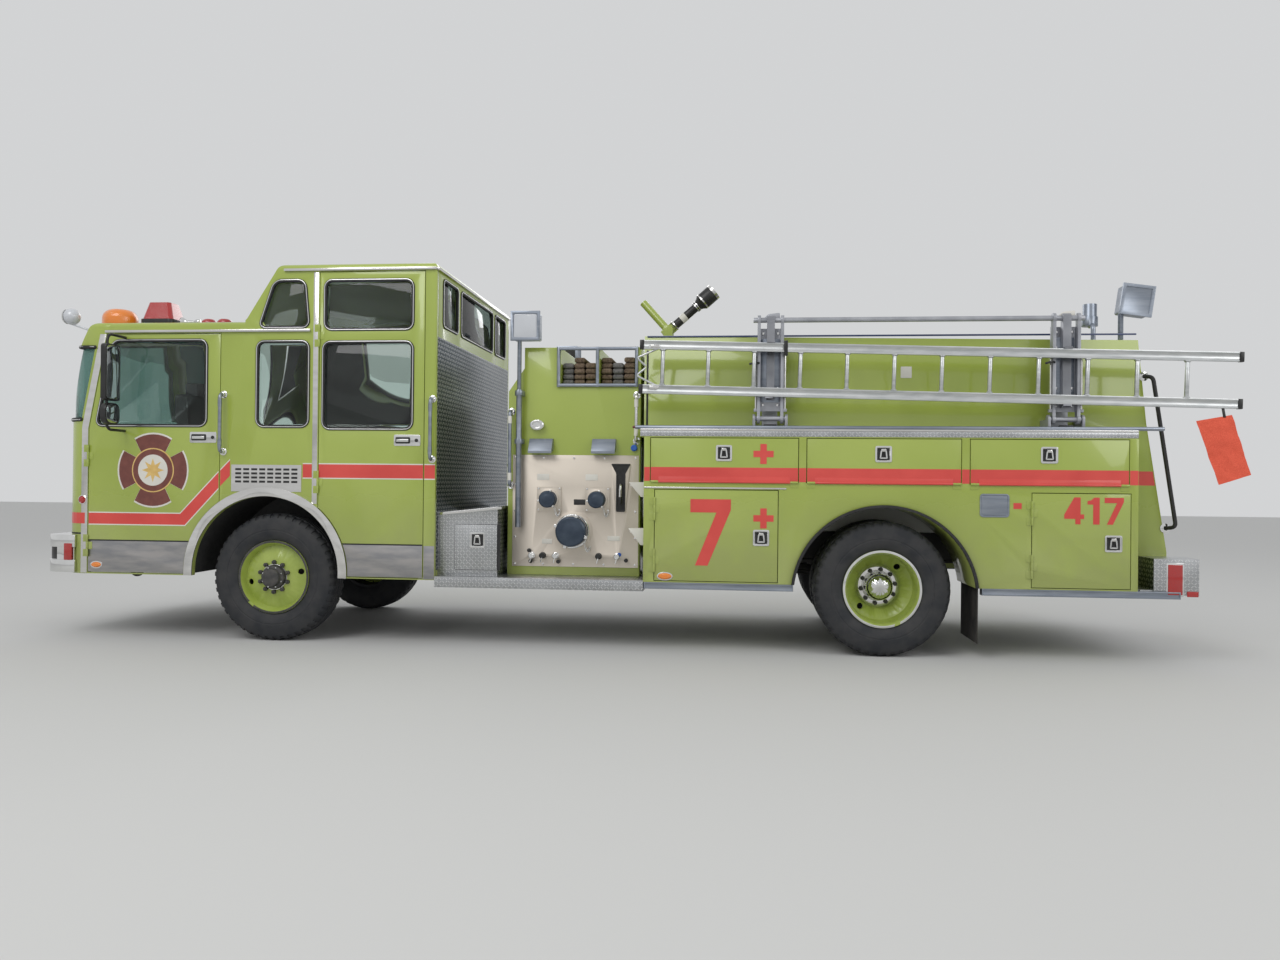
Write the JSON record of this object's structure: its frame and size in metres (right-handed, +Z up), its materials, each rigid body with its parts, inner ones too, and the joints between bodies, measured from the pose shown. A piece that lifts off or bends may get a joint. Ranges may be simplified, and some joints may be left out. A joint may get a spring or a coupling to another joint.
{
  "type": "fire engine",
  "caption": "Fire engine with a raised-roof crew cab, side pump panel, side lockers, hose bed, ladder on a swing-down rack, raising floodlights and a deck gun.",
  "frame": {"origin": "middle of the whole vehicle on the ground", "axes": "+X towards the tail, +Y towards the far side of the picture, +Z up"},
  "size_m": [9.55, 3.09, 3.1],
  "materials": {
    "black_metal": "satin",
    "cast_iron": "bare casting",
    "chassis_paint": "black paint with road dust",
    "chrome": "bright plating",
    "flag_cloth": "woven nylon",
    "hose_jacket": "woven jacket",
    "interior_trim": "moulded trim and vinyl",
    "ladder_aluminium": "mill finish",
    "lamp_lens": "moulded lens",
    "lime_paint": "gloss paint, slightly faded",
    "rack_metal": "mill finish",
    "seat_vinyl": "vinyl over foam",
    "stainless": "brushed sheet",
    "tank_plastic": "moulded sheet",
    "tread_plate": "raised diamond pattern",
    "tyre_rubber": "worn road rubber",
    "window_glass": "tinted safety glass"
  },
  "bodies": {
    "chassis": {"cab_shell": "lime_paint", "cab_glass": "window_glass", "cab_interior": "interior_trim", "seats": "seat_vinyl", "front_bumper": "chrome", "frame": "chassis_paint", "running_gear": "chassis_paint", "outer_trim": "stainless", "engine_block": "cast_iron", "tank_block": "tank_plastic", "pump_house": "lime_paint", "pump_panels": "stainless", "running_boards": "tread_plate", "crosslay_hose": "hose_jacket", "hose_bed": "lime_paint", "tail_step": "tread_plate", "mud_flaps": "tyre_rubber", "pike_pole": "black_metal", "rack_columns": "rack_metal", "rear_lights": "rack_metal", "gun_base": "lime_paint", "lamps": "lamp_lens", "mast_sleeves": "rack_metal", "left_side_body": "lime_paint", "right_side_body": "lime_paint"},
    "left_knuckle": {"left_knuckle": "chassis_paint"},
    "left_front_wheel": {"left_front_wheel": "lime_paint", "left_front_tyre": "tyre_rubber"},
    "left_rear_wheels": {"left_rear_wheels": "lime_paint", "left_rear_tyres": "tyre_rubber"},
    "left_front_door": {"left_front_door": "lime_paint", "left_mirror": "chrome"},
    "left_crew_door": {"left_crew_door": "lime_paint"},
    "left_mast": {"left_mast": "rack_metal"},
    "left_upper_front_door": {"left_upper_front_door": "lime_paint"},
    "left_upper_middle_door": {"left_upper_middle_door": "lime_paint"},
    "left_upper_rear_door": {"left_upper_rear_door": "lime_paint"},
    "left_lower_front_door": {"left_lower_front_door": "lime_paint"},
    "left_lower_rear_door": {"left_lower_rear_door": "lime_paint"},
    "right_knuckle": {"right_knuckle": "chassis_paint"},
    "right_front_wheel": {"right_front_wheel": "lime_paint", "right_front_tyre": "tyre_rubber"},
    "right_rear_wheels": {"right_rear_wheels": "lime_paint", "right_rear_tyres": "tyre_rubber"},
    "right_front_door": {"right_front_door": "lime_paint", "right_mirror": "chrome"},
    "right_crew_door": {"right_crew_door": "lime_paint"},
    "right_mast": {"right_mast": "rack_metal"},
    "right_upper_front_door": {"right_upper_front_door": "lime_paint"},
    "right_upper_middle_door": {"right_upper_middle_door": "lime_paint"},
    "right_upper_rear_door": {"right_upper_rear_door": "lime_paint"},
    "right_lower_front_door": {"right_lower_front_door": "lime_paint"},
    "right_lower_rear_door": {"right_lower_rear_door": "lime_paint"},
    "rack_arms": {"rack_arms": "rack_metal"},
    "rack_cradle": {"rack_cradle": "rack_metal", "ladder": "ladder_aluminium", "flag": "flag_cloth"},
    "gun_swivel": {"gun_swivel": "lime_paint"},
    "gun_barrel": {"gun_barrel": "black_metal"}
  },
  "joints": [
    {"name": "left_steer", "type": "hinge", "parent": "chassis", "child": "left_knuckle", "pos_m": [-2.805, -0.845, 0.52], "axis": [0, 0, 1], "range_deg": [-32, 32]},
    {"name": "left_front_spin", "type": "hinge", "parent": "left_knuckle", "child": "left_front_wheel", "pos_m": [-2.805, -1.02, 0.52], "axis": [0, 1, 0], "continuous": true},
    {"name": "left_rear_spin", "type": "hinge", "parent": "chassis", "child": "left_rear_wheels", "pos_m": [2.075, -1.02, 0.52], "axis": [0, 1, 0], "continuous": true},
    {"name": "left_front_door_hinge", "type": "hinge", "parent": "chassis", "child": "left_front_door", "pos_m": [-4.368, -1.2293, 1.2], "axis": [0, 0, -1], "range_deg": [0, 75]},
    {"name": "left_crew_door_hinge", "type": "hinge", "parent": "chassis", "child": "left_crew_door", "pos_m": [-2.398, -1.2293, 1.8], "axis": [0, 0, -1], "range_deg": [0, 75]},
    {"name": "left_upper_front_door_hinge", "type": "hinge", "parent": "chassis", "child": "left_upper_front_door", "pos_m": [0.8565, -1.2293, 1.332], "axis": [1, 0, 0], "range_deg": [0, 90]},
    {"name": "left_upper_middle_door_hinge", "type": "hinge", "parent": "chassis", "child": "left_upper_middle_door", "pos_m": [2.064, -1.2293, 1.332], "axis": [1, 0, 0], "range_deg": [0, 90]},
    {"name": "left_upper_rear_door_hinge", "type": "hinge", "parent": "chassis", "child": "left_upper_rear_door", "pos_m": [3.2765, -1.2293, 1.332], "axis": [1, 0, 0], "range_deg": [0, 90]},
    {"name": "left_lower_front_door_hinge", "type": "hinge", "parent": "chassis", "child": "left_lower_front_door", "pos_m": [0.322, -1.2293, 0.92], "axis": [0, 0, -1], "range_deg": [0, 100]},
    {"name": "left_lower_rear_door_hinge", "type": "hinge", "parent": "chassis", "child": "left_lower_rear_door", "pos_m": [3.154, -1.2293, 0.92], "axis": [0, 0, -1], "range_deg": [0, 100]},
    {"name": "left_mast_slide", "type": "slide", "parent": "chassis", "child": "left_mast", "axis": [0, 0, 1], "range_m": [0, 0.7]},
    {"name": "right_steer", "type": "hinge", "parent": "chassis", "child": "right_knuckle", "pos_m": [-2.805, 0.845, 0.52], "axis": [0, 0, 1], "range_deg": [-32, 32]},
    {"name": "right_front_spin", "type": "hinge", "parent": "right_knuckle", "child": "right_front_wheel", "pos_m": [-2.805, 1.02, 0.52], "axis": [0, 1, 0], "continuous": true},
    {"name": "right_rear_spin", "type": "hinge", "parent": "chassis", "child": "right_rear_wheels", "pos_m": [2.075, 1.02, 0.52], "axis": [0, 1, 0], "continuous": true},
    {"name": "right_front_door_hinge", "type": "hinge", "parent": "chassis", "child": "right_front_door", "pos_m": [-4.368, 1.2293, 1.2], "axis": [0, 0, 1], "range_deg": [0, 75]},
    {"name": "right_crew_door_hinge", "type": "hinge", "parent": "chassis", "child": "right_crew_door", "pos_m": [-2.398, 1.2293, 1.8], "axis": [0, 0, 1], "range_deg": [0, 75]},
    {"name": "right_upper_front_door_hinge", "type": "hinge", "parent": "chassis", "child": "right_upper_front_door", "pos_m": [0.8565, 1.2293, 1.332], "axis": [-1, 0, 0], "range_deg": [0, 90]},
    {"name": "right_upper_middle_door_hinge", "type": "hinge", "parent": "chassis", "child": "right_upper_middle_door", "pos_m": [2.064, 1.2293, 1.332], "axis": [-1, 0, 0], "range_deg": [0, 90]},
    {"name": "right_upper_rear_door_hinge", "type": "hinge", "parent": "chassis", "child": "right_upper_rear_door", "pos_m": [3.2765, 1.2293, 1.332], "axis": [-1, 0, 0], "range_deg": [0, 90]},
    {"name": "right_lower_front_door_hinge", "type": "hinge", "parent": "chassis", "child": "right_lower_front_door", "pos_m": [0.322, 1.2293, 0.92], "axis": [0, 0, 1], "range_deg": [0, 100]},
    {"name": "right_lower_rear_door_hinge", "type": "hinge", "parent": "chassis", "child": "right_lower_rear_door", "pos_m": [3.154, 1.2293, 0.92], "axis": [0, 0, 1], "range_deg": [0, 100]},
    {"name": "right_mast_slide", "type": "slide", "parent": "chassis", "child": "right_mast", "axis": [0, 0, 1], "range_m": [0, 0.7]},
    {"name": "rack_swing", "type": "hinge", "parent": "chassis", "child": "rack_arms", "pos_m": [2.32, -1.09, 1.83], "axis": [-1, 0, 0], "range_deg": [-95, 0]},
    {"name": "cradle_level", "type": "hinge", "parent": "rack_arms", "child": "rack_cradle", "pos_m": [2.32, -1.09, 2.6], "axis": [-1, 0, 0], "range_deg": [0, 95]},
    {"name": "gun_turn", "type": "hinge", "parent": "chassis", "child": "gun_swivel", "pos_m": [0.33, 0, 2.69], "axis": [0, 0, 1], "range_deg": [-170, 170]},
    {"name": "gun_tilt", "type": "hinge", "parent": "gun_swivel", "child": "gun_barrel", "pos_m": [0.33, 0, 2.69], "axis": [0, -1, 0], "range_deg": [-50, 45]}
  ],
  "couplings": [
    {"joint": "right_steer", "follows": "left_steer", "ratio": 1},
    {"joint": "cradle_level", "follows": "rack_swing", "ratio": -1}
  ]
}
